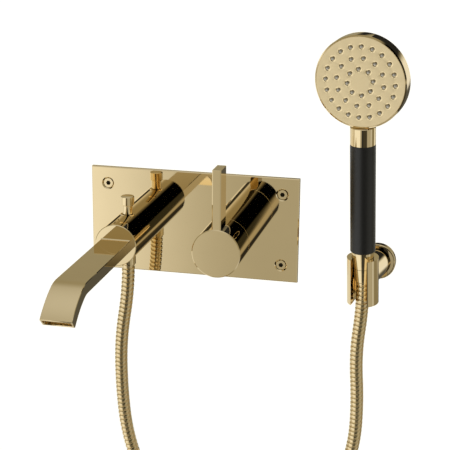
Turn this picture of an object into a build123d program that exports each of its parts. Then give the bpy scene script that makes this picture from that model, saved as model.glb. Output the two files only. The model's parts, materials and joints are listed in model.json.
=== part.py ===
from build123d import *
import os
from math import cos, pi, radians, sin, tan

os.makedirs("parts", exist_ok=True)

# Frame: origin on the wall, at the middle of the wall plate's back face.
# +X is right, +Z is up and +Y goes into the wall, so all that shows has a negative Y.

# --- driving dimensions, mm ---
# wall plate
plate_width = 200
plate_height = 100
plate_thickness = 4
plate_chamfer = 0.8
screw_inset = 16
screw_radius = 3
screw_head_radius = 6
screw_length = 10
hex_across_flats = 4

# mixer
mixer_x = 43
mixer_z = 1.5
mixer_radius = 21.75
mixer_reach = 90
handle_length = 37
seam_gap = 0.4
lever_width = 8
lever_depth = 19.6
lever_top = 76
rim = 0.8

# spout
spout_x = -50
spout_radius = 19
spout_reach = 84
blade_width = 27
blade_height = 10
blade_wall = 1.6
blade_top = 5
blade_straight_end = -201
blade_tight_radius = 30
blade_tight_turn = 24
blade_tip_radius = 85
blade_tip_turn = 22

# diverter, above the hose outlet
diverter_y = -51
diverter_lift = 8
knob_radius = 6.15
knob_height = 8.3
knob_neck_radius = 4.7
knob_top = 36
spindle_radius = 2.5

# hose
hose_radius = 6
hose_start_z = -28
coil_x = 55.5
coil_z = -300
coil_radius = 60
coil_pitch = 12.4
coil_start_y = -62
coil_turns = 2.5

# holder and hand shower: their common axis leans forward and is turned to the left
holder_x = 174.2
holder_z = -22.2
holder_turn = 10.3
holder_reach = 46.5
lean_left = 1.6
lean_forward = 5.2
flange_radius = 16.5
flange_thickness = 7
neck_radius = 13.3
fork_radius = 14.1
fork_low = -26
fork_high = 17
fork_slot = 15
seat_clearance = 0.35
cone_bottom = -5.7
cone_seam = 7.1
cone_top = 22.7
cone_bottom_radius = 6.6
cone_seam_radius = 8.1
cone_top_radius = 10.3
grip_radius = 11.1
grip_top = 121.3
collar_radius = 11
collar_top = 137
head_height = 177.2
head_radius = 40
head_front = 8
head_back = 5.2
nozzle_rings = ((8, 11.4, 7), (12, 20.7, 22), (20, 30.4, 16))
nozzle_radius = 1.35
nozzle_tip_radius = 0.8
nozzle_out = 1.7

# fits
running_gap = 0.05

# --- places worked out from them ---
plate_front = -plate_thickness
mixer_front = plate_thickness + mixer_reach
handle_back = mixer_front - handle_length
spout_front = plate_thickness + spout_reach
bracket_near = 2.5
bracket_far = 6
body_depth = 30


# Planes for turned pieces: the sketch's y runs along the turning axis.
mixer_turning = Plane(origin=(mixer_x, 0, mixer_z), x_dir=(1, 0, 0), z_dir=(0, 0, -1))
spout_turning = Plane(origin=(spout_x, 0, 0), x_dir=(1, 0, 0), z_dir=(0, 0, -1))
diverter_turning = Plane(origin=(spout_x, diverter_y, 0), x_dir=(1, 0, 0), z_dir=(0, -1, 0))
flange_turning = Plane(origin=(holder_x, 0, holder_z), x_dir=(1, 0, 0), z_dir=(0, 0, -1))

turn = radians(holder_turn)
seat_point = Vector(
    holder_x - holder_reach * sin(turn), -holder_reach * cos(turn), holder_z
)
shower_up = Vector(-tan(radians(lean_left)), -tan(radians(lean_forward)), 1).normalized()
shower = Plane(origin=seat_point, x_dir=(cos(turn), -sin(turn), 0), z_dir=shower_up)
shower_turning = Plane(origin=seat_point, x_dir=shower.x_dir, z_dir=-shower.y_dir)
head_centre = seat_point + shower_up * head_height
head_turning = Plane(origin=head_centre, x_dir=shower.x_dir, z_dir=-shower.z_dir)


def turned(outline, plane):
    """A solid of revolution: outline holds (radius, distance along the axis) points."""
    with BuildPart() as piece:
        with BuildSketch(plane):
            with BuildLine():
                Polyline(*outline, close=True)
            make_face()
        revolve(axis=Axis(plane.origin, plane.y_dir))
    return piece.part


def tube(outer, inner, start, end, plane):
    """A plain turned tube."""
    return turned(((inner, start), (outer, start), (outer, end), (inner, end)), plane)


def rod(radius, start, end, plane):
    """A plain turned rod."""
    return turned(((0, start), (radius, start), (radius, end), (0, end)), plane)


def save(piece, name):
    """Labels a finished piece and writes it out."""
    piece.label = name
    export_step(piece, f"parts/{name}.step")


# ------------------------------------------------------------------ plate
plate_holes = [
    (side * (plate_width / 2 - screw_inset), level * (plate_height / 2 - screw_inset))
    for side in (-1, 1)
    for level in (-1, 1)
]
boss_radius = 17
spout_boss_radius = 11
hole_gap = 0.3
seal_inset = 5
seal_width = 4
seal_depth = 1.5
# sketches on this plane look at the plate from the front: x right, y up
plate_face = Plane(origin=(0, plate_front, 0), x_dir=(1, 0, 0), z_dir=(0, -1, 0))
wall_face = Plane(origin=(0, 0, 0), x_dir=(1, 0, 0), z_dir=(0, -1, 0))

with BuildPart() as wall_plate:
    with BuildSketch(wall_face):
        Rectangle(plate_width, plate_height)
        with Locations((mixer_x, mixer_z)):
            Circle(boss_radius + hole_gap, mode=Mode.SUBTRACT)
        with Locations((spout_x, 0)):
            Circle(spout_boss_radius + hole_gap, mode=Mode.SUBTRACT)
    extrude(amount=plate_thickness)
    front_edges = wall_plate.faces().sort_by(Axis.Y)[0].outer_wire().edges()
    chamfer(front_edges, length=plate_chamfer)
    with Locations(plate_face):
        with Locations(*plate_holes):
            CounterSinkHole(radius=screw_radius + hole_gap, counter_sink_radius=screw_head_radius)
    with BuildSketch(wall_face):
        Rectangle(plate_width - 2 * seal_inset, plate_height - 2 * seal_inset)
        Rectangle(
            plate_width - 2 * (seal_inset + seal_width),
            plate_height - 2 * (seal_inset + seal_width),
            mode=Mode.SUBTRACT,
        )
    extrude(amount=seal_depth, mode=Mode.SUBTRACT)
save(wall_plate.part, "wall_plate")

with BuildPart() as plate_seal:
    with BuildSketch(wall_face):
        Rectangle(plate_width - 2 * seal_inset, plate_height - 2 * seal_inset)
        Rectangle(
            plate_width - 2 * (seal_inset + seal_width),
            plate_height - 2 * (seal_inset + seal_width),
            mode=Mode.SUBTRACT,
        )
    extrude(amount=seal_depth)
save(plate_seal.part, "plate_seal")

head_depth = screw_head_radius - screw_radius - hole_gap
socket_depth = 2
head_recess = 1
head_top_radius = 4.4
head_chamfer = 0.35
with BuildPart() as plate_screws:
    for place_x, place_z in plate_holes:
        screw_axis = Plane(
            origin=(place_x, plate_front, place_z), x_dir=(1, 0, 0), z_dir=(0, 0, 1)
        )
        with BuildSketch(screw_axis):
            with BuildLine():
                Polyline(
                    (0, head_recess),
                    (head_top_radius, head_recess),
                    (head_top_radius + head_chamfer, screw_head_radius - head_top_radius - head_chamfer),
                    (screw_radius + hole_gap, head_depth),
                    (screw_radius, head_depth),
                    (screw_radius, screw_length),
                    (0, screw_length),
                    close=True,
                )
            make_face()
        revolve(axis=Axis(screw_axis.origin, screw_axis.y_dir))
    with BuildSketch(plate_face):
        with Locations(*plate_holes):
            RegularPolygon(radius=hex_across_flats / 2, side_count=6, major_radius=False)
    extrude(amount=-socket_depth - head_recess, mode=Mode.SUBTRACT)
save(plate_screws.part, "plate_screws")

# ------------------------------------------------------------------ in the wall
bracket_width = 16
bracket_height = 88
tab_height = 24
tab_reach = 64
tab_screw_x = 69
bracket_x = plate_width / 2 - screw_inset
bracket_face = Plane(origin=(0, bracket_near, 0), x_dir=(1, 0, 0), z_dir=(0, -1, 0))
body_face = Plane(origin=(0, bracket_far, 0), x_dir=(1, 0, 0), z_dir=(0, -1, 0))
tab_screws = [(-tab_screw_x, 0), (tab_screw_x, 0)]
tab_screw_radius = 2.5
tab_screw_length = 14

with BuildPart() as fixing_brackets:
    with BuildSketch(body_face):
        for side in (-1, 1):
            with Locations((side * bracket_x, 0)):
                Rectangle(bracket_width, bracket_height)
            with Locations((side * (bracket_x + tab_reach) / 2, 0)):
                Rectangle(bracket_x - tab_reach, tab_height)
        with Locations(*plate_holes):
            Circle(screw_radius, mode=Mode.SUBTRACT)
        with Locations(*tab_screws):
            Circle(tab_screw_radius, mode=Mode.SUBTRACT)
    extrude(amount=bracket_far - bracket_near)
save(fixing_brackets.part, "fixing_brackets")

block_left = -76
block_right = 90
block_height = 36
inlet_offset = 30
inlet_boss_radius = 14
inlet_radius = 9.3
inlet_bottom = -40
inlet_depth = 16
waterway_radius = 4.5
port_spacing = 8
port_radius = 3
cartridge_radius = 14
cavity_floor = -6
boss_end = -42
spout_boss_end = -20
spout_seal_depth = 2
spout_waterway_radius = 6
block_corner = 4
boss_sink = 1
seal_thickness = 2
block_middle = bracket_far + body_depth / 2
inlets = [(mixer_x - inlet_offset, -block_middle), (mixer_x + inlet_offset, -block_middle)]
inlet_face = Plane(origin=(0, 0, inlet_bottom), x_dir=(1, 0, 0), z_dir=(0, 0, -1))
side_face = Plane(origin=(mixer_x, block_middle, 0), x_dir=(0, 1, 0), z_dir=(-1, 0, 0))

with BuildPart() as valve_body:
    with BuildSketch(body_face):
        with Locations(((block_left + block_right) / 2, 0)):
            Rectangle(block_right - block_left, block_height)
    extrude(amount=-body_depth)
    fillet(valve_body.edges().filter_by(Axis.Y), radius=block_corner)
    with BuildSketch(inlet_face):
        with Locations(*inlets):
            Circle(inlet_boss_radius)
    extrude(amount=inlet_bottom + block_height / 2 - boss_sink)
    add(rod(boss_radius, -block_middle, -boss_end, mixer_turning))
    add(rod(spout_boss_radius, -block_middle, -spout_boss_end, spout_turning))
    add(rod(cartridge_radius, -cavity_floor, -boss_end, mixer_turning), mode=Mode.SUBTRACT)
    # threaded inlets from below, then the way up to the cartridge's ports
    with BuildSketch(inlet_face):
        with Locations(*inlets):
            Circle(inlet_radius)
    extrude(amount=-inlet_depth, mode=Mode.SUBTRACT)
    with BuildSketch(inlet_face):
        with Locations(*inlets):
            Circle(waterway_radius)
    extrude(amount=inlet_bottom - waterway_radius, mode=Mode.SUBTRACT)
    with BuildSketch(side_face):
        Circle(waterway_radius)
    extrude(amount=mixer_x - spout_x, mode=Mode.SUBTRACT)
    add(rod(spout_waterway_radius, -block_middle, -spout_boss_end, spout_turning), mode=Mode.SUBTRACT)
    with BuildSketch(body_face):
        with Locations((mixer_x - port_spacing, mixer_z), (mixer_x + port_spacing, mixer_z)):
            Circle(port_radius)
    extrude(amount=bracket_far - cavity_floor, mode=Mode.SUBTRACT)
    with BuildSketch(body_face):
        with Locations(*tab_screws):
            Circle(tab_screw_radius)
    extrude(amount=-tab_screw_length, mode=Mode.SUBTRACT)
save(valve_body.part, "valve_body")

tab_head_radius = 4.5
with BuildPart() as body_screws:
    with BuildSketch(body_face):
        with Locations(*tab_screws):
            Circle(tab_screw_radius)
    extrude(amount=-tab_screw_length)
    with BuildSketch(bracket_face):
        with Locations(*tab_screws):
            Circle(tab_screw_radius)
    extrude(amount=bracket_near - bracket_far)
save(body_screws.part, "body_screws")

# ------------------------------------------------------------------ mixer
sleeve_wall = 2.75
sleeve_bore = mixer_radius - sleeve_wall
flange_depth = 4
sleeve_end = handle_back - seam_gap
save(
    turned(
        (
            (boss_radius, plate_thickness),
            (mixer_radius, plate_thickness),
            (mixer_radius, sleeve_end),
            (sleeve_bore, sleeve_end),
            (sleeve_bore, plate_thickness + flange_depth),
            (boss_radius, plate_thickness + flange_depth),
        ),
        mixer_turning,
    ),
    "mixer_sleeve",
)

handle_bore = 18.5
ring_fit = 0.1
ring_step = handle_bore - ring_fit
ring_bore = 15.5
ring_half = 7
save(
    turned(
        (
            (ring_bore, sleeve_end - ring_half),
            (sleeve_bore, sleeve_end - ring_half),
            (sleeve_bore, sleeve_end),
            (ring_step, sleeve_end),
            (ring_step, sleeve_end + ring_half),
            (ring_bore, sleeve_end + ring_half),
        ),
        mixer_turning,
    ),
    "slip_ring",
)

cartridge_length = 28
stem_radius = 4.5
stem_back = 24
collar_bore = 11
cartridge_front = -cavity_floor + cartridge_length
nose_length = 10
nut_recess = 2
cartridge_nose = cartridge_front + nose_length
save(
    turned(
        (
            (0, -cavity_floor + seal_thickness),
            (cartridge_radius, -cavity_floor + seal_thickness),
            (cartridge_radius, cartridge_front),
            (collar_bore, cartridge_front),
            (collar_bore, cartridge_nose),
            (stem_radius + running_gap, cartridge_nose),
            (stem_radius + running_gap, stem_back - running_gap),
            (0, stem_back - running_gap),
        ),
        mixer_turning,
    ),
    "cartridge",
)

port_seal_width = 1.5
with BuildPart() as cartridge_seals:
    with BuildSketch(Plane(origin=(0, cavity_floor, 0), x_dir=(1, 0, 0), z_dir=(0, -1, 0))):
        for side in (-1, 1):
            with Locations((mixer_x + side * port_spacing, mixer_z)):
                Circle(port_radius + port_seal_width)
                Circle(port_radius, mode=Mode.SUBTRACT)
    extrude(amount=seal_thickness)
save(cartridge_seals.part, "cartridge_seals")

save(
    tube(cartridge_radius, collar_bore, cartridge_front, cartridge_nose - nut_recess, mixer_turning),
    "cartridge_nut",
)

# the stem carries the handle on its end; the hub inside the handle grips it
hub_radius = 8
hub_recess = 5
stem_reach = 22
hub_start = handle_back + hub_recess
stem_end = handle_back + stem_reach
cap_wall = 6
small_chamfer = 0.3
save(rod(stem_radius, stem_back, stem_end, mixer_turning), "cartridge_stem")

lever_front = mixer_front - rim
lever_back = lever_front - lever_depth
lever_sink = 0.5
lever_root = mixer_z + handle_bore - lever_sink
cut_overshoot = 1
grub_y = -hub_start - 8
grub_radius = 2.5
grub_hex = 1.25
grub_head = 5
grub_socket = 2.5
grub_gap = 0.2
with BuildPart() as handle_shell:
    add(
        turned(
            (
                (stem_radius, hub_start),
                (hub_radius, hub_start),
                (hub_radius, mixer_front - cap_wall),
                (handle_bore, mixer_front - cap_wall),
                (handle_bore, handle_back),
                (mixer_radius - small_chamfer, handle_back),
                (mixer_radius, handle_back + small_chamfer),
                (mixer_radius, mixer_front - rim),
                (mixer_radius - rim, mixer_front),
                (0, mixer_front),
                (0, stem_end),
                (stem_radius, stem_end),
            ),
            mixer_turning,
        )
    )
    # slot for the lever's root
    with BuildSketch(Plane.XY.offset(lever_root)):
        with Locations((mixer_x, -(lever_front + lever_back) / 2)):
            Rectangle(lever_width, lever_depth)
    extrude(amount=lever_top - lever_root, mode=Mode.SUBTRACT)
    # grub screw hole under the handle, from the outside into the hub
    with BuildSketch(Plane.XY.offset(mixer_z - mixer_radius - cut_overshoot)):
        with Locations((mixer_x, grub_y)):
            Circle(grub_radius)
    extrude(amount=mixer_radius + cut_overshoot - stem_radius, mode=Mode.SUBTRACT)
save(handle_shell.part, "handle_shell")

grub_length = hub_radius + grub_head - stem_radius - grub_gap
with BuildPart() as handle_grub_screw:
    with BuildSketch(Plane.XY.offset(mixer_z - hub_radius - grub_head)):
        with Locations((mixer_x, grub_y)):
            Circle(grub_radius)
    extrude(amount=grub_length)
    with BuildSketch(Plane.XY.offset(mixer_z - hub_radius - grub_head)):
        with Locations((mixer_x, grub_y)):
            RegularPolygon(radius=grub_hex, side_count=6, major_radius=False)
    extrude(amount=grub_socket, mode=Mode.SUBTRACT)
save(handle_grub_screw.part, "handle_grub_screw")

lever_chamfer = 0.9
with BuildPart() as handle_lever:
    with BuildSketch(Plane.XY.offset(lever_root)):
        with Locations((mixer_x, -(lever_front + lever_back) / 2)):
            Rectangle(lever_width, lever_depth)
    extrude(amount=lever_top - lever_root)
    chamfer(handle_lever.edges().filter_by(Axis.Z).group_by(Axis.Y)[0], length=lever_chamfer)
    chamfer(handle_lever.faces().sort_by(Axis.Z)[-1].edges(), length=small_chamfer)
save(handle_lever.part, "handle_lever")

# ------------------------------------------------------------------ spout
spout_bore = 16
spout_wall = 4
core_recess = 12
blade_socket = 8
core_end = spout_front - spout_wall - core_recess
blade_root = core_end - blade_socket
blade_bottom = blade_top - blade_height
spout_chamfer = 0.6
bonnet_radius = 6.5
connector_radius = 7
spout_grub_y = -plate_thickness - 10
spout_grub_length = 2

with BuildPart() as spout_body:
    add(
        turned(
            (
                (spout_bore, plate_thickness),
                (spout_radius, plate_thickness),
                (spout_radius, spout_front - spout_chamfer),
                (spout_radius - spout_chamfer, spout_front),
                (0, spout_front),
                (0, spout_front - spout_wall),
                (spout_bore, spout_front - spout_wall),
            ),
            spout_turning,
        )
    )
    # window for the blade, bonnet hole above, hose hole and grub screw hole below
    with BuildSketch(Plane.XZ.offset(spout_front)):
        with Locations((spout_x, (blade_top + blade_bottom) / 2)):
            Rectangle(blade_width, blade_height)
    extrude(amount=-2 * spout_wall, mode=Mode.SUBTRACT)
    add(rod(bonnet_radius, 0, spout_radius + cut_overshoot, diverter_turning), mode=Mode.SUBTRACT)
    add(rod(connector_radius, -spout_radius - cut_overshoot, 0, diverter_turning), mode=Mode.SUBTRACT)
    with BuildSketch(Plane.XY.offset(-spout_radius - cut_overshoot)):
        with Locations((spout_x, spout_grub_y)):
            Circle(grub_radius)
    extrude(amount=spout_radius, mode=Mode.SUBTRACT)
save(spout_body.part, "spout_body")

core_inset = 4
core_start = plate_thickness + core_inset
socket_floor = spout_seal_depth - spout_boss_end
plunger_bottom = -8.5
plunger_height = 4
chamber_top = 8
chamber_radius = 7.5
plunger_radius = 7.2
plunger_gap = 0.3
connector_top = plunger_bottom - 3
hose_bore = 4.5
blade_waterway_width = 14
with BuildPart() as spout_core:
    add(
        turned(
            (
                (spout_boss_radius, core_start),
                (spout_bore, core_start),
                (spout_bore, core_end),
                (0, core_end),
                (0, socket_floor),
                (spout_boss_radius, socket_floor),
            ),
            spout_turning,
        )
    )
    add(rod(spout_waterway_radius, socket_floor, -diverter_y, spout_turning), mode=Mode.SUBTRACT)
    add(rod(chamber_radius, plunger_bottom, chamber_top, diverter_turning), mode=Mode.SUBTRACT)
    add(rod(bonnet_radius, 0, spout_bore, diverter_turning), mode=Mode.SUBTRACT)
    add(rod(connector_radius, -spout_bore, connector_top, diverter_turning), mode=Mode.SUBTRACT)
    add(rod(hose_bore, -spout_bore, 0, diverter_turning), mode=Mode.SUBTRACT)
    # pocket for the blade's root and the way into it
    with BuildSketch(Plane.XZ.offset(core_end)):
        with Locations((spout_x, (blade_top + blade_bottom) / 2)):
            Rectangle(blade_width, blade_height)
    extrude(amount=blade_root - core_end, mode=Mode.SUBTRACT)
    with BuildSketch(Plane.XZ.offset(blade_root)):
        with Locations((spout_x, (blade_top + blade_bottom) / 2)):
            Rectangle(blade_waterway_width, blade_height - 2 * blade_wall)
    extrude(amount=-diverter_y - blade_root, mode=Mode.SUBTRACT)
save(spout_core.part, "spout_core")

spout_seal_radius = 9.5
save(
    tube(
        spout_seal_radius,
        spout_waterway_radius,
        -spout_boss_end,
        socket_floor,
        spout_turning,
    ),
    "spout_seal",
)

with BuildPart() as spout_grub_screw:
    with BuildSketch(Plane.XY.offset(cut_overshoot - spout_radius)):
        with Locations((spout_x, spout_grub_y)):
            Circle(grub_radius)
            RegularPolygon(radius=grub_hex, side_count=6, major_radius=False, mode=Mode.SUBTRACT)
    extrude(amount=spout_grub_length)
save(spout_grub_screw.part, "spout_grub_screw")

# The blade's centre line in the plane X = spout_x: level, a tight bend, then a slow curve.
blade_side = Plane(origin=(spout_x, 0, 0), x_dir=(0, -1, 0), z_dir=(1, 0, 0))


def blade_outline(inset, back, front_cut):
    """Outline of the blade seen from the side, shrunk by inset: x forward, y down the sketch."""
    top = -blade_top + inset
    bottom = -blade_bottom - inset
    bend = -blade_straight_end
    with BuildLine() as outline:
        upper = Line((back, top), (bend, top))
        tight = JernArc(upper @ 1, (1, 0), blade_tight_radius - inset, blade_tight_turn)
        slow = JernArc(
            tight @ 1, tight % 1, blade_tip_radius - inset, blade_tip_turn + front_cut
        )
        lower = Line((back, bottom), (bend, bottom))
        low_radius = blade_tight_radius - blade_height + inset
        low_tight = JernArc(lower @ 1, (1, 0), low_radius, blade_tight_turn)
        low_slow = JernArc(
            low_tight @ 1,
            low_tight % 1,
            blade_tip_radius - blade_height + inset,
            blade_tip_turn + front_cut,
        )
        Line(upper @ 0, lower @ 0)
        Line(slow @ 1, low_slow @ 1)
    return outline


slot_overshoot = 3
# The tip's face is square to the blade there: its middle, and the way it points.
end_turn = radians(blade_tight_turn + blade_tip_turn)
tight_turn = radians(blade_tight_turn)
tip_forward = (
    -blade_straight_end
    + blade_tight_radius * sin(tight_turn)
    + blade_tip_radius * (sin(end_turn) - sin(tight_turn))
)
tip_drop = (
    blade_tight_radius * (1 - cos(tight_turn))
    + blade_tip_radius * (cos(tight_turn) - cos(end_turn))
)
tip_plane = Plane(
    origin=(
        spout_x,
        -tip_forward + blade_height / 2 * sin(end_turn),
        blade_top - tip_drop - blade_height / 2 * cos(end_turn),
    ),
    x_dir=(1, 0, 0),
    z_dir=(0, -cos(end_turn), -sin(end_turn)),
)

with BuildPart() as spout_blade:
    with BuildSketch(blade_side):
        add(blade_outline(0, blade_root, 0))
        make_face()
    extrude(amount=blade_width / 2, both=True)
    with BuildSketch(blade_side):
        add(blade_outline(blade_wall, blade_root, slot_overshoot))
        make_face()
    extrude(amount=blade_width / 2 - blade_wall, both=True, mode=Mode.SUBTRACT)
save(spout_blade.part, "spout_blade")

insert_recess = 8
insert_depth = 6
slit_pitch = 4.4
slit_width = 3
slit_count = 5
with BuildPart() as flow_straightener:
    with BuildSketch(blade_side):
        add(blade_outline(blade_wall, blade_root, 0))
        make_face()
    extrude(amount=blade_width / 2 - blade_wall, both=True)
    with BuildSketch(tip_plane.offset(-insert_recess - insert_depth)):
        Rectangle(2 * blade_width, 2 * blade_height)
    extrude(amount=insert_depth, mode=Mode.INTERSECT)
    with BuildSketch(tip_plane.offset(-insert_recess - 2 * insert_depth)):
        with GridLocations(slit_pitch, 1, slit_count, 1):
            Rectangle(slit_width, blade_height / 2)
    extrude(amount=3 * insert_depth, mode=Mode.SUBTRACT)
save(flow_straightener.part, "flow_straightener")

# ------------------------------------------------------------------ diverter
bonnet_stand = 0.2
bonnet_top = spout_radius + bonnet_stand
save(
    tube(bonnet_radius, spindle_radius + running_gap, chamber_top, bonnet_top, diverter_turning),
    "diverter_bonnet",
)

knob_chamfer = 0.5
knob_roof = 4
knob_gap = 0.3
knob_seat = bonnet_top + knob_gap
knob_low = knob_top - knob_height
with BuildPart() as diverter_knob:
    add(
        turned(
            (
                (spindle_radius, knob_seat),
                (knob_neck_radius, knob_seat),
                (knob_neck_radius, knob_low),
                (knob_radius - knob_chamfer, knob_low),
                (knob_radius, knob_low + knob_chamfer),
                (knob_radius, knob_top - knob_chamfer),
                (knob_radius - knob_chamfer, knob_top),
                (0, knob_top),
                (0, knob_top - knob_roof),
                (spindle_radius, knob_top - knob_roof),
            ),
            diverter_turning,
        )
    )
save(diverter_knob.part, "diverter_knob")

plunger_low = plunger_bottom + plunger_gap
save(rod(spindle_radius, plunger_low, knob_top - knob_roof, diverter_turning), "diverter_spindle")
save(
    tube(
        plunger_radius,
        spindle_radius,
        plunger_low,
        plunger_bottom + plunger_height,
        diverter_turning,
    ),
    "diverter_plunger",
)

save(tube(connector_radius, hose_bore, hose_start_z, connector_top, diverter_turning), "hose_connector")

# ------------------------------------------------------------------ holder
base_radius = 12
base_depth = 4
save(tube(base_radius, tab_screw_radius, 0, base_depth, flange_turning), "holder_base")

wall_screw_length = 30
screw_head_height = 2
# plain shank under the head, slimmer than the thread that passes through the base
screw_shank_radius = tab_screw_radius - 0.2
flange_round = 1.5
with BuildPart() as holder_screw:
    add(rod(tab_screw_radius, -wall_screw_length, 0, flange_turning))
    add(rod(screw_shank_radius, 0, base_depth, flange_turning))
    add(rod(tab_head_radius, base_depth, base_depth + screw_head_height, flange_turning))
save(holder_screw.part, "holder_screw")

with BuildPart() as holder_flange:
    add(
        turned(
            (
                (base_radius, 0),
                (flange_radius, 0),
                (flange_radius, flange_thickness),
                (0, flange_thickness),
                (0, base_depth + screw_head_height),
                (base_radius, base_depth + screw_head_height),
            ),
            flange_turning,
        )
    )
    rim_edges = (
        holder_flange.edges().filter_by(GeomType.CIRCLE).sort_by(SortBy.RADIUS)[-2:]
    )
    fillet(rim_edges.sort_by(Axis.Y)[0], radius=flange_round)
save(holder_flange.part, "holder_flange")

neck_start = 4
neck_plane = Plane(
    origin=Vector(holder_x, 0, holder_z) + Vector(-sin(turn), -cos(turn), 0) * neck_start,
    z_dir=(-sin(turn), -cos(turn), 0),
)
bore_low_radius = 7.6
nut_clearance = 1
fork_fillet = 2


def seat_radius(height):
    """Bore of the fork at a height: the cone's own taper and the clearance round it."""
    taper = (cone_top_radius - cone_seam_radius) / (cone_top - cone_seam)
    return cone_seam_radius + taper * (height - cone_seam) + seat_clearance


with BuildPart() as holder_fork:
    with BuildSketch(neck_plane):
        Circle(neck_radius)
    extrude(amount=holder_reach - neck_start)
    # the neck stands on the flange's front face
    with BuildSketch(Plane.XZ):
        with Locations((holder_x, holder_z)):
            Circle(2 * flange_radius)
    extrude(amount=flange_thickness, mode=Mode.SUBTRACT)
    add(rod(fork_radius, fork_low, fork_high, shower_turning))
    fillet(
        holder_fork.edges().filter_by(GeomType.CIRCLE, reverse=True).group_by(SortBy.LENGTH)[-1],
        radius=fork_fillet,
    )
    add(
        turned(
            (
                (0, fork_low - cut_overshoot),
                (bore_low_radius, fork_low - cut_overshoot),
                (bore_low_radius, cone_bottom - nut_clearance),
                (cone_seam_radius + seat_clearance, cone_seam),
                (seat_radius(fork_high + cut_overshoot), fork_high + cut_overshoot),
                (0, fork_high + cut_overshoot),
            ),
            shower_turning,
        ),
        mode=Mode.SUBTRACT,
    )
    with BuildSketch(shower.offset(fork_low - cut_overshoot)):
        with Locations((0, -fork_radius)):
            Rectangle(fork_slot, 2 * fork_radius)
    extrude(amount=fork_high - fork_low + 2 * cut_overshoot, mode=Mode.SUBTRACT)
save(holder_fork.part, "holder_fork")

# ------------------------------------------------------------------ hand shower
ferrule_radius = 5.6
ferrule_show = 2.5
ferrule_bottom = cone_bottom - ferrule_show
ferrule_top = 2
water_bore = 4
save(tube(ferrule_radius, water_bore, ferrule_bottom, ferrule_top, shower_turning), "hose_ferrule")

thread_radius = 6
thread_gap = 0.5
seam = 0.3
thread_bottom = ferrule_top + thread_gap
save(
    turned(
        (
            (ferrule_radius + running_gap, cone_bottom),
            (cone_bottom_radius, cone_bottom),
            (cone_seam_radius, cone_seam - seam),
            (thread_radius, cone_seam - seam),
            (thread_radius, thread_bottom),
            (ferrule_radius + running_gap, thread_bottom),
        ),
        shower_turning,
    ),
    "cone_nut",
)

tube_radius = 9
tube_bore = 7
plug_length = 10
limiter_bore = 2
limiter_start = thread_bottom + 2
limiter_length = 8
tube_overlap = 8
save(
    turned(
        (
            (water_bore, thread_bottom),
            (thread_radius, thread_bottom),
            (thread_radius, cone_seam),
            (cone_seam_radius, cone_seam),
            (cone_top_radius, cone_top),
            (tube_bore, cone_top),
            (tube_bore, cone_top + plug_length),
            (water_bore, cone_top + plug_length),
        ),
        shower_turning,
    ),
    "end_cone",
)
limiter_end = limiter_start + limiter_length
save(tube(water_bore, limiter_bore, limiter_start, limiter_end, shower_turning), "flow_limiter")
save(tube(tube_radius, tube_bore, cone_top, grip_top + tube_overlap, shower_turning), "handle_tube")

grip_low_chamfer = 0.8
grip_high_chamfer = 0.4
with BuildPart() as grip_sleeve:
    add(
        turned(
            (
                (tube_radius, cone_top),
                (grip_radius - grip_low_chamfer, cone_top),
                (grip_radius, cone_top + grip_low_chamfer),
                (grip_radius, grip_top - grip_high_chamfer),
                (grip_radius - grip_high_chamfer, grip_top),
                (tube_radius, grip_top),
            ),
            shower_turning,
        )
    )
save(grip_sleeve.part, "grip_sleeve")

stub_radius = 6
collar_chamfer = 0.5
save(
    turned(
        (
            (tube_radius, grip_top),
            (collar_radius, grip_top),
            (collar_radius, collar_top - collar_chamfer),
            (collar_radius - collar_chamfer, collar_top),
            (stub_radius, collar_top),
            (stub_radius, grip_top + tube_overlap),
            (tube_radius, grip_top + tube_overlap),
        ),
        shower_turning,
    ),
    "handset_collar",
)

shell_wall = 2
face_inset = 1.2
back_round = 1.5
front_chamfer = 0.8
rim_step = 0.2
face_radius = head_radius - face_inset
# the round back edge is two flats: this is how far its middle point is in from the corner
back_round_middle = back_round * (1 - cos(radians(45)))
stub_bore = 3
bore_into_head = 6
stub_length = head_height - face_radius - grip_top - tube_overlap
with BuildPart() as head_shell:
    add(
        turned(
            (
                (0, -head_back),
                (head_radius - back_round, -head_back),
                (head_radius - back_round_middle, -head_back + back_round_middle),
                (head_radius, -head_back + back_round),
                (head_radius, head_front - front_chamfer),
                (face_radius, head_front - rim_step),
                (face_radius, -head_back + shell_wall),
                (0, -head_back + shell_wall),
            ),
            head_turning,
        )
    )
    # stub that plugs into the collar, with its waterway
    with BuildSketch(shower.offset(grip_top + tube_overlap)):
        Circle(stub_radius)
    extrude(amount=stub_length)
    with BuildSketch(shower.offset(grip_top + tube_overlap - cut_overshoot)):
        Circle(stub_bore)
    extrude(amount=stub_length + bore_into_head, mode=Mode.SUBTRACT)
save(head_shell.part, "head_shell")

face_thickness = 2.5
mat_thickness = 1.5
disc_thickness = 1
face_back = head_front - face_thickness
mat_back = face_back - mat_thickness
disc_back = mat_back - disc_thickness
disc_hole_radius = 3
disc_ring_radius = 30
disc_holes = 6
nozzle_places = [
    (ring_radius * cos(radians(first + step * 360 / count)),
     ring_radius * sin(radians(first + step * 360 / count)))
    for count, ring_radius, first in nozzle_rings
    for step in range(count)
]
face_plane = Plane(origin=head_centre, x_dir=shower.x_dir, z_dir=-shower.y_dir)

with BuildPart() as head_face:
    with BuildSketch(face_plane.offset(face_back)):
        Circle(face_radius)
        with Locations(*nozzle_places):
            Circle(nozzle_radius, mode=Mode.SUBTRACT)
    extrude(amount=head_front - face_back)
save(head_face.part, "head_face")

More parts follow.
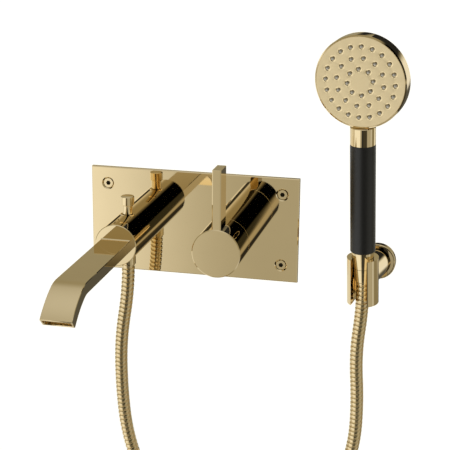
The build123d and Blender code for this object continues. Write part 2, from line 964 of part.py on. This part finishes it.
with BuildPart() as spray_nozzles:
    with BuildSketch(face_plane.offset(mat_back)):
        Circle(face_radius)
    extrude(amount=face_back - mat_back)
    with BuildSketch(face_plane.offset(face_back)):
        with Locations(*nozzle_places):
            Circle(nozzle_radius)
    extrude(amount=head_front - face_back)
    with Locations(face_plane.offset(head_front)):
        with Locations(*nozzle_places):
            Cone(
                nozzle_radius,
                nozzle_tip_radius,
                nozzle_out,
                align=(Align.CENTER, Align.CENTER, Align.MIN),
            )
save(spray_nozzles.part, "spray_nozzles")

with BuildPart() as water_disc:
    with BuildSketch(face_plane.offset(disc_back)):
        Circle(face_radius)
        with PolarLocations(radius=disc_ring_radius, count=disc_holes):
            Circle(disc_hole_radius, mode=Mode.SUBTRACT)
    extrude(amount=mat_back - disc_back)
save(water_disc.part, "water_disc")

# ------------------------------------------------------------------ hose
coil_end_y = coil_start_y + coil_turns * coil_pitch
left_route = [
    (spout_x, diverter_y, hose_start_z),
    (-50, -51, -53),
    (-58, -51.5, -102),
    (-58, -51, -150),
    (-53, -53, -196),
    (-38, -57.5, -236),
    (-14, -62, -268),
    (coil_x - coil_radius, coil_start_y, coil_z),
]
right_route = [
    (166.12, -44.98, -30.66),
    (166.75, -42.94, -53.06),
    (161.8, -42.4, -99),
    (165.5, -42, -146),
    (164, -40.5, -192),
    (151, -35.5, -235),
    (126, -31, -268),
    (coil_x + coil_radius, coil_end_y, coil_z),
]


run_share = 0.45  # of a run, used up by the arc at each of its ends


def route_radii(route):
    """Largest tangent arc for each corner that its two runs allow."""
    radii = []
    for before, corner, after in zip(route, route[1:], route[2:]):
        run_in = Vector(corner) - Vector(before)
        run_out = Vector(after) - Vector(corner)
        half_turn = radians(run_in.get_angle(run_out)) / 2
        radii.append(run_share * min(run_in.length, run_out.length) / tan(half_turn))
    return radii


def hose_tube(name, route):
    """A plain round hose along a route of straight runs joined by tangent arcs."""
    radii = route_radii(route)
    with BuildPart() as hose:
        with BuildLine() as path:
            FilletPolyline(*route, radius=radii)
        start_plane = Plane(origin=path.wire() @ 0, z_dir=path.wire() % 0)
        with BuildSketch(start_plane):
            Circle(hose_radius)
        sweep(path=path.wire())
        # trimmed square where it meets the coil
        split(bisect_by=Plane.XY.offset(coil_z), keep=Keep.TOP)
    save(hose.part, name)
    length = path.wire().length
    print(name, "radii", [round(value) for value in radii])
    print(name, "length", round(length, 1), "volume", round(hose.part.volume))
    print(name, "section x length", round(pi * hose_radius**2 * length))
    return length


hose_length = hose_tube("hose_left", left_route) + hose_tube("hose_right", right_route)
hose_length += coil_turns * 2 * pi * coil_radius
print("hose length with its coil", round(hose_length))


def ring_sector(first_y, last_y, start_angle, sweep_angle):
    """Part of the coil's ring between two depths, as wide as the hose."""
    ring_plane = Plane(origin=(coil_x, last_y, coil_z), x_dir=(1, 0, 0), z_dir=(0, -1, 0))
    outer = coil_radius + hose_radius
    inner = coil_radius - hose_radius
    with BuildPart() as sector:
        with BuildSketch(ring_plane):
            with BuildLine():
                far = CenterArc((0, 0), outer, start_angle, sweep_angle)
                near = CenterArc((0, 0), inner, start_angle, sweep_angle)
                Line(far @ 0, near @ 0)
                Line(far @ 1, near @ 1)
            make_face()
        extrude(amount=last_y - first_y)
    return sector.part


half_pitch = coil_pitch / 2
with BuildPart() as hose_coil:
    add(ring_sector(coil_start_y - hose_radius, coil_end_y + hose_radius, 180, 180))
    add(
        ring_sector(
            coil_start_y + half_pitch - hose_radius,
            coil_end_y - 2 * half_pitch + hose_radius,
            0,
            90,
        )
    )
    add(
        ring_sector(
            coil_start_y + 2 * half_pitch - hose_radius,
            coil_end_y - half_pitch + hose_radius,
            90,
            90,
        )
    )
save(hose_coil.part, "hose_coil")

tie_width = 10
tie_thickness = 1.5
tie_middle_y = (coil_start_y + coil_end_y) / 2
tie_inner_y = coil_end_y - coil_start_y + 2 * hose_radius
tie_plane = Plane(
    origin=(coil_x, tie_middle_y, coil_z - coil_radius), x_dir=(0, 1, 0), z_dir=(1, 0, 0)
)
tie_drop = 0.5
with BuildPart() as hose_tie:
    with BuildSketch(tie_plane):
        Rectangle(
            tie_inner_y + 2 * tie_thickness, 2 * hose_radius + 2 * tie_thickness + 2 * tie_drop
        )
        Rectangle(tie_inner_y, 2 * hose_radius + 2 * tie_drop, mode=Mode.SUBTRACT)
    extrude(amount=tie_width / 2, both=True)
save(hose_tie.part, "hose_tie")
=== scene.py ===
import json
from math import ceil, cos, pi, radians, sin

import bmesh
import bpy
from mathutils import Matrix, Vector


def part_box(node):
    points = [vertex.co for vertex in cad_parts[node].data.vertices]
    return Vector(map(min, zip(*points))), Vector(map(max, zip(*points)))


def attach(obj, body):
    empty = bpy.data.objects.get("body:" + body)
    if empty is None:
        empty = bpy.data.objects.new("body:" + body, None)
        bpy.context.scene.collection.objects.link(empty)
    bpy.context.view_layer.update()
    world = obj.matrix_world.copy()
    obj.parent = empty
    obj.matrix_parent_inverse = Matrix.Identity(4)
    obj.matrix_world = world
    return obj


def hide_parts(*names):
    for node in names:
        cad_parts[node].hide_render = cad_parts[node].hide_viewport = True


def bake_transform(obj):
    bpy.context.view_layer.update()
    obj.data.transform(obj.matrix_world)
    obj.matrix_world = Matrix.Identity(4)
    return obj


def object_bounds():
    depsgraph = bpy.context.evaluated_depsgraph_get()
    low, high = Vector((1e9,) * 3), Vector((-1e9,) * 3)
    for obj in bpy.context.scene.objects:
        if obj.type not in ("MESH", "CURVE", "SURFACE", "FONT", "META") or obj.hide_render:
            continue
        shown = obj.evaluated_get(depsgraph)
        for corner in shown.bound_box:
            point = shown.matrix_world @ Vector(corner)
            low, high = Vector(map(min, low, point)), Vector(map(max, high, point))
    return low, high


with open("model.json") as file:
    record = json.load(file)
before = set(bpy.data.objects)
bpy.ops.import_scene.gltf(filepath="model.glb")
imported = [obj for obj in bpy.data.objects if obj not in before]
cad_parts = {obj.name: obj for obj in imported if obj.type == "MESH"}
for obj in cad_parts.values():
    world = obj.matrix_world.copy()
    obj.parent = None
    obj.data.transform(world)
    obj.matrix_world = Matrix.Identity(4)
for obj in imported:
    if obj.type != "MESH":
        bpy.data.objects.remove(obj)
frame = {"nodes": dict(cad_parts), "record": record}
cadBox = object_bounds()
record = frame["record"]
joints = {joint["name"]: joint for joint in record["behaviour"]["joints"]}
scene = bpy.context.scene
print("frame loaded")


# camera

cameraSetup = {
    "place": (0.28682, -1.1113, 0.33616),
    "azimuth": 13.046,  # degrees to the right of straight ahead
    "elevation": 16.418,
    "roll": 0.581,
    "lens": 101.26,
    "sensorWidth": 36,
    "clipStart": 0.05,
}


def makeCamera(setup):
    azimuth, elevation = radians(setup["azimuth"]), radians(setup["elevation"])
    roll = radians(setup["roll"])
    ahead = Vector((-sin(azimuth) * cos(elevation), cos(azimuth) * cos(elevation), -sin(elevation)))
    level = Vector((cos(azimuth), sin(azimuth), 0))
    upright = level.cross(ahead)
    right = level * cos(roll) + upright * sin(roll)
    up = upright * cos(roll) - level * sin(roll)
    data = bpy.data.cameras.new("camera")
    data.lens = setup["lens"]
    data.sensor_width = setup["sensorWidth"]
    data.clip_start = setup["clipStart"]
    obj = bpy.data.objects.new("camera", data)
    scene.collection.objects.link(obj)
    turned = Matrix((right, up, -ahead)).transposed().to_4x4()
    obj.matrix_world = Matrix.Translation(setup["place"]) @ turned
    scene.camera = obj


makeCamera(cameraSetup)
scene.view_settings.view_transform = "Standard"
print("camera made")


# small helpers

mergeDistance = 2e-6  # corners nearer than this become one


def axesMatrix(origin, xAxis, zAxis):
    # place of a piece: its z along zAxis, its x as near xAxis as it can be
    z = Vector(zAxis).normalized()
    y = z.cross(Vector(xAxis)).normalized()
    return Matrix.Translation(origin) @ Matrix((y.cross(z), y, z)).transposed().to_4x4()


def finishMesh(bm, name, body, material, nodes=(), sharp=30, weighted=True):
    # a piece from a bmesh: closed up, smooth with sharp edges kept, riding on its body
    bmesh.ops.remove_doubles(bm, verts=bm.verts[:], dist=mergeDistance)
    bmesh.ops.recalc_face_normals(bm, faces=bm.faces[:])
    mesh = bpy.data.meshes.new(name)
    bm.to_mesh(mesh)
    bm.free()
    if "custom_normal" in mesh.attributes:  # left over from a copied node
        mesh.attributes.remove(mesh.attributes["custom_normal"])
    obj = bpy.data.objects.new(name, mesh)
    scene.collection.objects.link(obj)
    mesh.shade_smooth()
    mesh.set_sharp_from_angle(angle=radians(sharp))
    mesh.materials.append(material)
    if weighted:
        modifier = obj.modifiers.new("evenNormals", "WEIGHTED_NORMAL")
        modifier.keep_sharp = True
    if nodes:
        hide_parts(*nodes)
    if body:
        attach(obj, body)
    return obj


# materials

def newGroup(name, inputs, outputs):
    # an empty shader node group; inputs are (name, socket type, default)
    group = bpy.data.node_groups.new(name, "ShaderNodeTree")
    for label, kind, default in inputs:
        socket = group.interface.new_socket(name=label, in_out="INPUT", socket_type=kind)
        if default is not None:
            socket.default_value = default
    for label, kind in outputs:
        group.interface.new_socket(name=label, in_out="OUTPUT", socket_type=kind)
    return group, group.nodes.new("NodeGroupInput"), group.nodes.new("NodeGroupOutput")


def mathNode(tree, operation, first, second=None):
    node = tree.nodes.new("ShaderNodeMath")
    node.operation = operation
    for socket, value in zip(node.inputs, (first, second)):
        if value is None:
            continue
        if isinstance(value, (int, float)):
            socket.default_value = value
        else:
            tree.links.new(value, socket)
    return node.outputs[0]


cloudShade = 0.06  # how far the clouds lighten and darken the colour
cloudDetail = 3
bumpDepth = 0.0005


def polishGroup():
    # soft clouds that vary the roughness and shade, over the piece's own coordinates
    group, entry, result = newGroup(
        "polish",
        [
            ("Base", "NodeSocketColor", (0.8, 0.6, 0.3, 1)),
            ("Roughness", "NodeSocketFloat", 0.1),
            ("Spread", "NodeSocketFloat", 0.03),
            ("Size", "NodeSocketFloat", 60.0),
        ],
        [("Color", "NodeSocketColor"), ("Roughness", "NodeSocketFloat"), ("Height", "NodeSocketFloat")],
    )
    coords = group.nodes.new("ShaderNodeTexCoord")
    clouds = group.nodes.new("ShaderNodeTexNoise")
    clouds.inputs["Detail"].default_value = cloudDetail
    group.links.new(coords.outputs["Object"], clouds.inputs["Vector"])
    group.links.new(entry.outputs["Size"], clouds.inputs["Scale"])
    centred = mathNode(group, "SUBTRACT", clouds.outputs["Fac"], 0.5)
    change = mathNode(group, "MULTIPLY", centred, entry.outputs["Spread"])
    rough = mathNode(group, "ADD", entry.outputs["Roughness"], change)
    group.links.new(rough, result.inputs["Roughness"])
    shade = group.nodes.new("ShaderNodeHueSaturation")
    group.links.new(entry.outputs["Base"], shade.inputs["Color"])
    lighter = mathNode(group, "ADD", mathNode(group, "MULTIPLY", centred, cloudShade), 1.0)
    group.links.new(lighter, shade.inputs["Value"])
    group.links.new(shade.outputs["Color"], result.inputs["Color"])
    group.links.new(clouds.outputs["Fac"], result.inputs["Height"])
    return group


polish = polishGroup()


def newMaterial(name):
    material = bpy.data.materials.new(name)
    material.use_nodes = True
    tree = material.node_tree
    return material, tree, tree.nodes["Principled BSDF"]


def polishedMaterial(name, colour, metallic, roughness, spread, size, bump=0.0):
    material, tree, shader = newMaterial(name)
    node = tree.nodes.new("ShaderNodeGroup")
    node.node_tree = polish
    node.inputs["Base"].default_value = (*colour, 1)
    node.inputs["Roughness"].default_value = roughness
    node.inputs["Spread"].default_value = spread
    node.inputs["Size"].default_value = size
    tree.links.new(node.outputs["Color"], shader.inputs["Base Color"])
    tree.links.new(node.outputs["Roughness"], shader.inputs["Roughness"])
    shader.inputs["Metallic"].default_value = metallic
    if bump:
        bumpNode = tree.nodes.new("ShaderNodeBump")
        bumpNode.inputs["Strength"].default_value = bump
        bumpNode.inputs["Distance"].default_value = bumpDepth
        tree.links.new(node.outputs["Height"], bumpNode.inputs["Height"])
        tree.links.new(bumpNode.outputs["Normal"], shader.inputs["Normal"])
    return material


goldTint = (0.845, 0.69, 0.42)
gold = polishedMaterial("polishedGold", goldTint, 1, 0.03, 0.01, 40)
goldFace = polishedMaterial("satinGold", (0.84, 0.69, 0.42), 1, 0.4, 0.05, 300)
goldHose = polishedMaterial("hoseGold", (0.82, 0.66, 0.39), 1, 0.14, 0.08, 200)
rawBrass = polishedMaterial("machinedBrass", (0.72, 0.55, 0.27), 1, 0.35, 0.1, 150, 0.1)
steel = polishedMaterial("steel", (0.55, 0.55, 0.55), 1, 0.3, 0.1, 150)
sleeveBlack = polishedMaterial("mattBlack", (0.008, 0.008, 0.008), 0, 0.38, 0.05, 400, 0.05)
silicone = polishedMaterial("greySilicone", (0.5, 0.48, 0.43), 0, 0.28, 0.05, 500)
sealRubber = polishedMaterial("sealRubber", (0.03, 0.03, 0.03), 0, 0.6, 0.1, 300, 0.1)
whitePlastic = polishedMaterial("whitePlastic", (0.75, 0.75, 0.72), 0, 0.4, 0.1, 300)
# painted shade: a dark colour for the inside of the screws' hex sockets, where shade falls
socketShade = polishedMaterial("socketShade", (0.05, 0.04, 0.02), 0.6, 0.6, 0.1, 300)
tieBlack = polishedMaterial("tieBlack", (0.03, 0.03, 0.03), 0, 0.45, 0.1, 300)
slotMaterials = {
    "gold": gold,
    "brass_body": rawBrass,
    "steel": steel,
    "black_sleeve": sleeveBlack,
    "face_gold": goldFace,
    "silicone": silicone,
    "black_rubber": sealRubber,
    "white_plastic": whitePlastic,
    "hose_metal": goldHose,
    "tie": tieBlack,
}
print("materials made")


# carried-over nodes and smooth copies of them

nodeSlots = {part["node"]: part["material_slot"] for part in record["subparts"]}
nodeBodies = {node: body for body, nodes in record["behaviour"]["bodies"].items() for node in nodes}
for nodeName, slotName in nodeSlots.items():
    node = frame["nodes"][nodeName]
    node.data.materials.clear()
    node.data.materials.append(slotMaterials[slotName])

# width of the eased edges of each node that has them
edgeSetup = {"spout_blade": 0.0004, "wall_plate": 0.0003, "handle_lever": 0.0002}
edgeAngle = 60  # degrees; edges sharper than this are eased
flatAngle = 0.5  # degrees; faces this near to one plane are joined first


def smoothCopy(nodeName, name, sharp=30):
    # the node's own shape, merged, with smooth round faces and crisp edges
    bm = bmesh.new()
    bm.from_mesh(frame["nodes"][nodeName].data)
    slotName = nodeSlots[nodeName]
    eased = edgeSetup.get(nodeName)
    obj = finishMesh(
        bm, name, nodeBodies[nodeName], slotMaterials[slotName], [nodeName], sharp, not eased
    )
    if eased:
        flats = obj.modifiers.new("mergeFlats", "DECIMATE")
        flats.decimate_type = "DISSOLVE"
        flats.angle_limit = radians(flatAngle)
        bevel = obj.modifiers.new("easedEdges", "BEVEL")
        bevel.width = eased
        bevel.segments = 1
        bevel.limit_method = "ANGLE"
        bevel.angle_limit = radians(edgeAngle)
    return obj


roundPieces = {
    "wall_plate": "wallPlate",
    "mixer_sleeve": "mixerSleeve",
    "handle_shell": "handleShell",
    "handle_lever": "handleLever",
    "spout_body": "spoutBody",
    "spout_blade": "spoutBlade",
    "diverter_bonnet": "diverterBonnet",
    "diverter_knob": "diverterKnob",
    "hose_connector": "hoseConnector",
    "holder_flange": "holderFlange",
    "holder_fork": "holderFork",
    "head_shell": "headShell",
    "spray_nozzles": "sprayNozzles",
    "handset_collar": "handsetCollar",
    "grip_sleeve": "gripSleeve",
    "end_cone": "endCone",
    "cone_nut": "coneNut",
    "hose_ferrule": "hoseFerrule",
}
for nodeName, name in roundPieces.items():
    smoothCopy(nodeName, name)


# plate screws and the spout's seam

screwSetup = {"across": 0.084, "upward": 0.034, "socketRadius": 0.0032, "sunk": 0.0003}
seamSetup = {"height": 0.0009, "depth": 0.0009, "inset": 0.0002}


def makeScrews(setup):
    # painted shade: the faces deep inside each screw's hex socket take a dark material
    screws = smoothCopy("plate_screws", "plateScrews")
    screws.data.materials.append(socketShade)
    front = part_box("plate_screws")[0].y
    for polygon in screws.data.polygons:
        middle = polygon.center
        away = Vector((abs(middle.x) - setup["across"], abs(middle.z) - setup["upward"])).length
        if away < setup["socketRadius"] and middle.y > front + setup["sunk"]:
            polygon.material_index = 1


def makeSeam(setup):
    # a fine raised line where the flat spout leaves its round body
    low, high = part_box("spout_blade")
    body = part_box("spout_body")[0]
    bm = bmesh.new()
    bmesh.ops.create_cube(bm, size=1)
    width = high.x - low.x - 2 * setup["inset"]
    middle = Vector(((low.x + high.x) / 2, body.y - setup["depth"] / 2, high.z + setup["height"] / 2))
    size = Matrix.Diagonal((width, setup["depth"], setup["height"], 1))
    bm.transform(Matrix.Translation(middle) @ size)
    for vertex in bm.verts:  # the front slopes back at its top
        if vertex.co.y < middle.y and vertex.co.z > middle.z:
            vertex.co.y = body.y
    finishMesh(bm, "spoutSeam", nodeBodies["spout_blade"], gold)


makeSeam(seamSetup)
makeScrews(screwSetup)
print("smooth copies made")


# hand shower face

faceSetup = {
    "dimpleRadius": 0.0028,
    "dimpleDepth": 0.0005,
    "holeRadius": 0.00137,
    "rim": 0.0003,  # rounded edge of the disc
    "sides": 24,
    "outerSides": 128,
    "sharpAngle": 25,
    "facing": 0.9,  # how squarely a flat must face away from the wall to be the front
    "flatness": 1e-5,  # corners this near to the front lie on it
    "rimMargin": 1e-4,  # corners this near to the rim are no nozzle's
}


def makeFace(setup):
    # a thin disc with a small dimple round each nozzle, over the front of the face
    face = frame["nodes"]["head_face"].data
    upward = Vector(joints["handset_lift"]["axis"]).normalized()
    low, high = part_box("head_face")
    centre = (low + high) / 2
    # the front is the largest flat that faces away from the wall
    facing = [polygon for polygon in face.polygons if polygon.normal.y < -setup["facing"]]
    front = max(facing, key=lambda polygon: polygon.area)
    ahead = front.normal.copy()
    place = axesMatrix(centre, ahead.cross(upward), ahead)
    inverse = place.inverted()
    flat = [inverse @ vertex.co for vertex in face.vertices]
    top = max(point.z for point in flat)
    bottom = min(point.z for point in flat)
    radius = max(point.xy.length for point in flat)
    level = top - setup["flatness"]
    inside = radius - setup["rimMargin"]
    outline = [point for point in flat if point.z > level and point.xy.length < inside]
    reach = 3 * setup["holeRadius"]
    centres = []
    for point in outline:
        if all((point.xy - other).length > 2 * setup["dimpleRadius"] for other in centres):
            near = [other.xy for other in outline if (other.xy - point.xy).length < reach]
            centres.append(sum(near, Vector((0, 0))) / len(near))
    bm = bmesh.new()
    rings = []

    def ring(middle, size, depth, sides):
        angles = [2 * pi * step / sides for step in range(sides)]
        return [
            bm.verts.new((middle.x + size * cos(angle), middle.y + size * sin(angle), depth))
            for angle in angles
        ]

    def band(first, second, slot=0):
        for step in range(len(first)):
            after = (step + 1) % len(first)
            bm.faces.new((first[step], first[after], second[after], second[step])).material_index = slot

    origin = Vector((0, 0))
    outer = ring(origin, radius - setup["rim"], top, setup["outerSides"])
    borders = [outer]
    for middle in centres:
        wide = ring(middle, setup["dimpleRadius"], top, setup["sides"])
        inner = ring(middle, setup["holeRadius"], top - setup["dimpleDepth"], setup["sides"])
        band(wide, inner, 1)
        borders.append(wide)
    edges = []
    for border in borders:
        for step in range(len(border)):
            pair = (border[step], border[(step + 1) % len(border)])
            edges.append(bm.edges.get(pair) or bm.edges.new(pair))
    bmesh.ops.triangle_fill(bm, edges=edges, use_beauty=True)
    shoulder = ring(origin, radius, top - setup["rim"], setup["outerSides"])
    skirt = ring(origin, radius, bottom, setup["outerSides"])
    band(shoulder, outer)
    band(skirt, shoulder)
    bm.faces.new(skirt)
    bm.transform(place)
    disc = finishMesh(
        bm, "headFace", nodeBodies["head_face"], goldFace,
        ["head_face"], setup["sharpAngle"],
    )
    disc.data.materials.append(gold)


makeFace(faceSetup)
print("face made")


# hose

hoseSetup = {
    "diameter": 0.012,
    "pitch": 0.0042,  # of one turn of the metal strip
    "around": 24,  # sides
    "unitTurns": 8,
    "grooveDepth": 0.0008,
    "tucked": 0.004,  # of each end inside its fitting
    "coilTurns": 2.5,
    "coilPoints": 16,  # in each turn
    "routeDetail": 12,  # points read between two control points
    "mergeWithin": 1e-5,
    "sharpAngle": 50,
}
leftRoute = [
    (-0.050, -0.051, -0.028),
    (-0.050, -0.051, -0.053),
    (-0.058, -0.0515, -0.102),
    (-0.058, -0.051, -0.150),
    (-0.053, -0.053, -0.196),
    (-0.038, -0.0575, -0.236),
    (-0.014, -0.062, -0.268),
    (-0.0045, -0.062, -0.300),
]
rightRoute = [
    (0.1155, -0.031, -0.300),
    (0.126, -0.031, -0.268),
    (0.151, -0.0355, -0.235),
    (0.164, -0.0405, -0.192),
    (0.1655, -0.042, -0.146),
    (0.1618, -0.0424, -0.099),
    (0.16675, -0.04294, -0.05306),
    (0.16612, -0.04498, -0.03066),
]


def coilPoints(setup):
    # the turns put away under the object, from the left side round to the right
    low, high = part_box("hose_coil")
    middle = (low + high) / 2
    half = setup["diameter"] / 2
    steps = int(setup["coilTurns"] * setup["coilPoints"])
    radius = ((high.x - low.x) / 2 - half) / cos(pi / setup["coilPoints"])
    for step in range(1, steps):
        angle = pi + 2 * pi * step / setup["coilPoints"]
        depth = low.y + half + (high.y - low.y - 2 * half) * step / steps
        yield (middle.x + radius * cos(angle), depth, middle.z + radius * sin(angle))


def smoothLine(points, detail):
    # points read from a smooth spline that has the given control points
    data = bpy.data.curves.new("route", "CURVE")
    data.dimensions = "3D"
    data.resolution_u = detail
    spline = data.splines.new("NURBS")
    spline.points.add(len(points) - 1)
    for point, place in zip(spline.points, points):
        point.co = (*place, 1)
    spline.order_u = 3
    spline.use_endpoint_u = True
    obj = bpy.data.objects.new("route", data)
    scene.collection.objects.link(obj)
    bpy.context.view_layer.update()
    mesh = bpy.data.meshes.new_from_object(obj)
    line = [vertex.co.copy() for vertex in mesh.vertices]
    bpy.data.objects.remove(obj)
    bpy.data.meshes.remove(mesh)
    return line


def framesAlong(line):
    # distance, place, and two side directions that don't twist, at each point of a line
    frames = []
    side = (line[1] - line[0]).orthogonal().normalized()
    distance = 0
    for index, place in enumerate(line):
        ahead = (line[min(index + 1, len(line) - 1)] - line[max(index - 1, 0)]).normalized()
        side = (side - ahead * side.dot(ahead)).normalized()
        if index:
            distance += (place - line[index - 1]).length
        frames.append((distance, place, side, ahead.cross(side)))
    return frames


def woundTube(setup, length):
    # a straight tube wound from one strip: a short stretch is spun, then repeated
    radius = setup["diameter"] / 2
    pitch = setup["pitch"]
    depth = setup["grooveDepth"]
    # across one turn: share of the pitch, and inset from the full radius
    profile = [
        (0.0, depth), (0.06, depth), (0.14, depth * 0.35), (0.26, 0), (0.5, 0),
        (0.74, 0), (0.86, depth * 0.35), (0.94, depth), (1.0, depth),
    ]
    bm = bmesh.new()
    corners = [bm.verts.new((radius - inset, 0, share * pitch)) for share, inset in profile]
    edges = [bm.edges.new(pair) for pair in zip(corners, corners[1:])]
    steps = setup["unitTurns"] * setup["around"]
    bmesh.ops.spin(
        bm, geom=corners + edges, cent=(0, 0, 0), axis=(0, 0, 1),
        dvec=(0, 0, pitch / setup["around"]), angle=2 * pi * setup["unitTurns"], steps=steps,
    )
    unit = bm.verts[:] + bm.edges[:] + bm.faces[:]
    unitLength = setup["unitTurns"] * pitch
    for copy in range(1, ceil(length / unitLength)):
        made = bmesh.ops.duplicate(bm, geom=unit)["geom"]
        places = [item for item in made if isinstance(item, bmesh.types.BMVert)]
        bmesh.ops.translate(bm, verts=places, vec=(0, 0, copy * unitLength))
    bmesh.ops.remove_doubles(bm, verts=bm.verts[:], dist=setup["mergeWithin"])
    return bm


def makeHose(setup):
    line = smoothLine(leftRoute + list(coilPoints(setup)) + rightRoute, setup["routeDetail"])
    frames = framesAlong(line)
    length = frames[-1][0]
    bm = woundTube(setup, length)
    total = max(vertex.co.z for vertex in bm.verts)
    at = 0
    for vertex in sorted(bm.verts, key=lambda vertex: vertex.co.z):
        distance = vertex.co.z / total * (length + 2 * setup["tucked"]) - setup["tucked"]
        while at < len(frames) - 2 and frames[at + 1][0] < distance:
            at += 1
        before, after = frames[at], frames[at + 1]
        share = (distance - before[0]) / (after[0] - before[0])
        place, across, over = (before[part].lerp(after[part], share) for part in (1, 2, 3))
        vertex.co = place + across * vertex.co.x + over * vertex.co.y
    ends = [edge for edge in bm.edges if edge.is_boundary]
    bmesh.ops.holes_fill(bm, edges=ends, sides=0)
    hose = finishMesh(
        bm, "hose", None, goldHose,
        ["hose_left", "hose_coil", "hose_right"], setup["sharpAngle"], False,
    )
    tie = smoothCopy("hose_tie", "hoseTie")
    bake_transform(hose)
    return length


print("hose made,", round(makeHose(hoseSetup), 3), "m")


# floor and light

floorSetup = {"drop": 0.55, "size": 14, "colour": (0.95, 0.95, 0.95), "roughness": 0.9, "glow": 0.7}
roomColour = (0.35, 0.32, 0.225)
# soft patches of light and dark that the metal mirrors, each by its direction in degrees:
# azimuth from straight ahead of the plate towards the right (lowest, highest, softness),
# elevation (lowest, highest, softness), colour
lightPatches = {
    "ceiling": ((-200, 200, 1), (58, 100, 22), (0.66, 0.66, 0.64)),
    "leftWindow": ((-80, -14.5, 6), (-75, 9, 8), (1.05, 1.05, 1.03)),
    "floorAhead": ((-14.5, 78, 7), (-80, 1, 3), (0.47, 0.45, 0.38)),
    "rightWindow": ((80, 96, 5), (-60, 40, 8), (0.62, 0.62, 0.6)),
    "floorBehindRight": ((155, 200, 5), (-90, -3, 5), (0.1, 0.095, 0.08)),
    "wallRight": ((100, 150, 5), (-90, -3, 5), (0.28, 0.25, 0.17)),
    "floorBehindLeft": ((-200, -172, 5), (-90, -3, 5), (0.05, 0.05, 0.04)),
    "leftRear": ((-172, -84, 4), (-60, -9, 4), (0.85, 0.84, 0.78)),
    "rearWindow": ((128, 157, 3), (-16, 12, 4), (0.95, 0.94, 0.88)),
    "rearDarkRight": ((140, 200, 5), (15, 28, 3), (0.02, 0.02, 0.02)),
    "rearDarkLeft": ((-200, -169, 1.5), (14, 21, 2), (0.02, 0.02, 0.02)),
    "darkRoom": ((-1, 47, 5), (0, 40, 3), (0.0, 0.0, 0.0)),
    "darkLow": ((18.5, 47, 1.5), (-13, 3, 2), (0.04, 0.04, 0.03)),
    "darkFloor": ((-4, 46, 4), (-50, -17.5, 1.5), (0.06, 0.055, 0.04)),
    "darkStrip": ((-40, 0, 5), (-4, 6, 2), (0.04, 0.04, 0.03)),
    "standShadow": ((-1, 11, 2.5), (-50, 3, 3), (0.03, 0.03, 0.03)),
}


def makeFloor(setup):
    low = cadBox[0]
    bm = bmesh.new()
    bmesh.ops.create_grid(bm, x_segments=1, y_segments=1, size=setup["size"])
    mesh = bpy.data.meshes.new("floor")
    bm.to_mesh(mesh)
    bm.free()
    floor = bpy.data.objects.new("floor", mesh)
    floor.location = (0, 0, low.z - setup["drop"])
    scene.collection.objects.link(floor)
    floor.visible_glossy = False
    material, _, shader = newMaterial("paleFloor")
    shader.inputs["Base Color"].default_value = (*setup["colour"], 1)
    shader.inputs["Roughness"].default_value = setup["roughness"]
    shader.inputs["Emission Color"].default_value = (1, 1, 1, 1)
    shader.inputs["Emission Strength"].default_value = setup["glow"]
    mesh.materials.append(material)


def softBand(tree, value, span):
    # 1 between the span's two angles and 0 outside them, with a soft edge
    low, high, soft = (radians(angle) for angle in span)
    edges = []
    for edge in (low, high):
        fade = tree.nodes.new("ShaderNodeMapRange")
        fade.interpolation_type = "SMOOTHSTEP"
        tree.links.new(value, fade.inputs["Value"])
        fade.inputs["From Min"].default_value = edge - soft
        fade.inputs["From Max"].default_value = edge + soft
        edges.append(fade.outputs["Result"])
    return mathNode(tree, "SUBTRACT", *edges)


# the mix node's sockets when it mixes colours
mixFactor, mixFirst, mixSecond, mixResult = 0, 6, 7, 2


def makeStudio():
    world = bpy.data.worlds.new("studio")
    scene.world = world
    world.use_nodes = True
    tree = world.node_tree
    tree.nodes.clear()
    coords = tree.nodes.new("ShaderNodeTexCoord")
    parts = tree.nodes.new("ShaderNodeSeparateXYZ")
    tree.links.new(coords.outputs["Generated"], parts.inputs[0])
    ahead = mathNode(tree, "MULTIPLY", parts.outputs["Y"], -1.0)
    azimuth = mathNode(tree, "ARCTAN2", parts.outputs["X"], ahead)
    elevation = mathNode(tree, "ARCSINE", parts.outputs["Z"])
    base = tree.nodes.new("ShaderNodeRGB")
    base.outputs[0].default_value = (*roomColour, 1)
    colour = base.outputs[0]
    for across, over, tint in lightPatches.values():
        bands = softBand(tree, azimuth, across), softBand(tree, elevation, over)
        mask = mathNode(tree, "MULTIPLY", *bands)
        mix = tree.nodes.new("ShaderNodeMix")
        mix.data_type = "RGBA"
        tree.links.new(mask, mix.inputs[mixFactor])
        tree.links.new(colour, mix.inputs[mixFirst])
        mix.inputs[mixSecond].default_value = (*tint, 1)
        colour = mix.outputs[mixResult]
    sky = tree.nodes.new("ShaderNodeBackground")
    tree.links.new(colour, sky.inputs["Color"])
    plain = tree.nodes.new("ShaderNodeBackground")
    plain.inputs["Color"].default_value = (1, 1, 1, 1)
    seen = tree.nodes.new("ShaderNodeLightPath")
    choose = tree.nodes.new("ShaderNodeMixShader")
    tree.links.new(seen.outputs["Is Camera Ray"], choose.inputs["Fac"])
    tree.links.new(sky.outputs[0], choose.inputs[1])
    tree.links.new(plain.outputs[0], choose.inputs[2])
    output = tree.nodes.new("ShaderNodeOutputWorld")
    tree.links.new(choose.outputs[0], output.inputs["Surface"])


makeFloor(floorSetup)
makeStudio()
print("studio made")
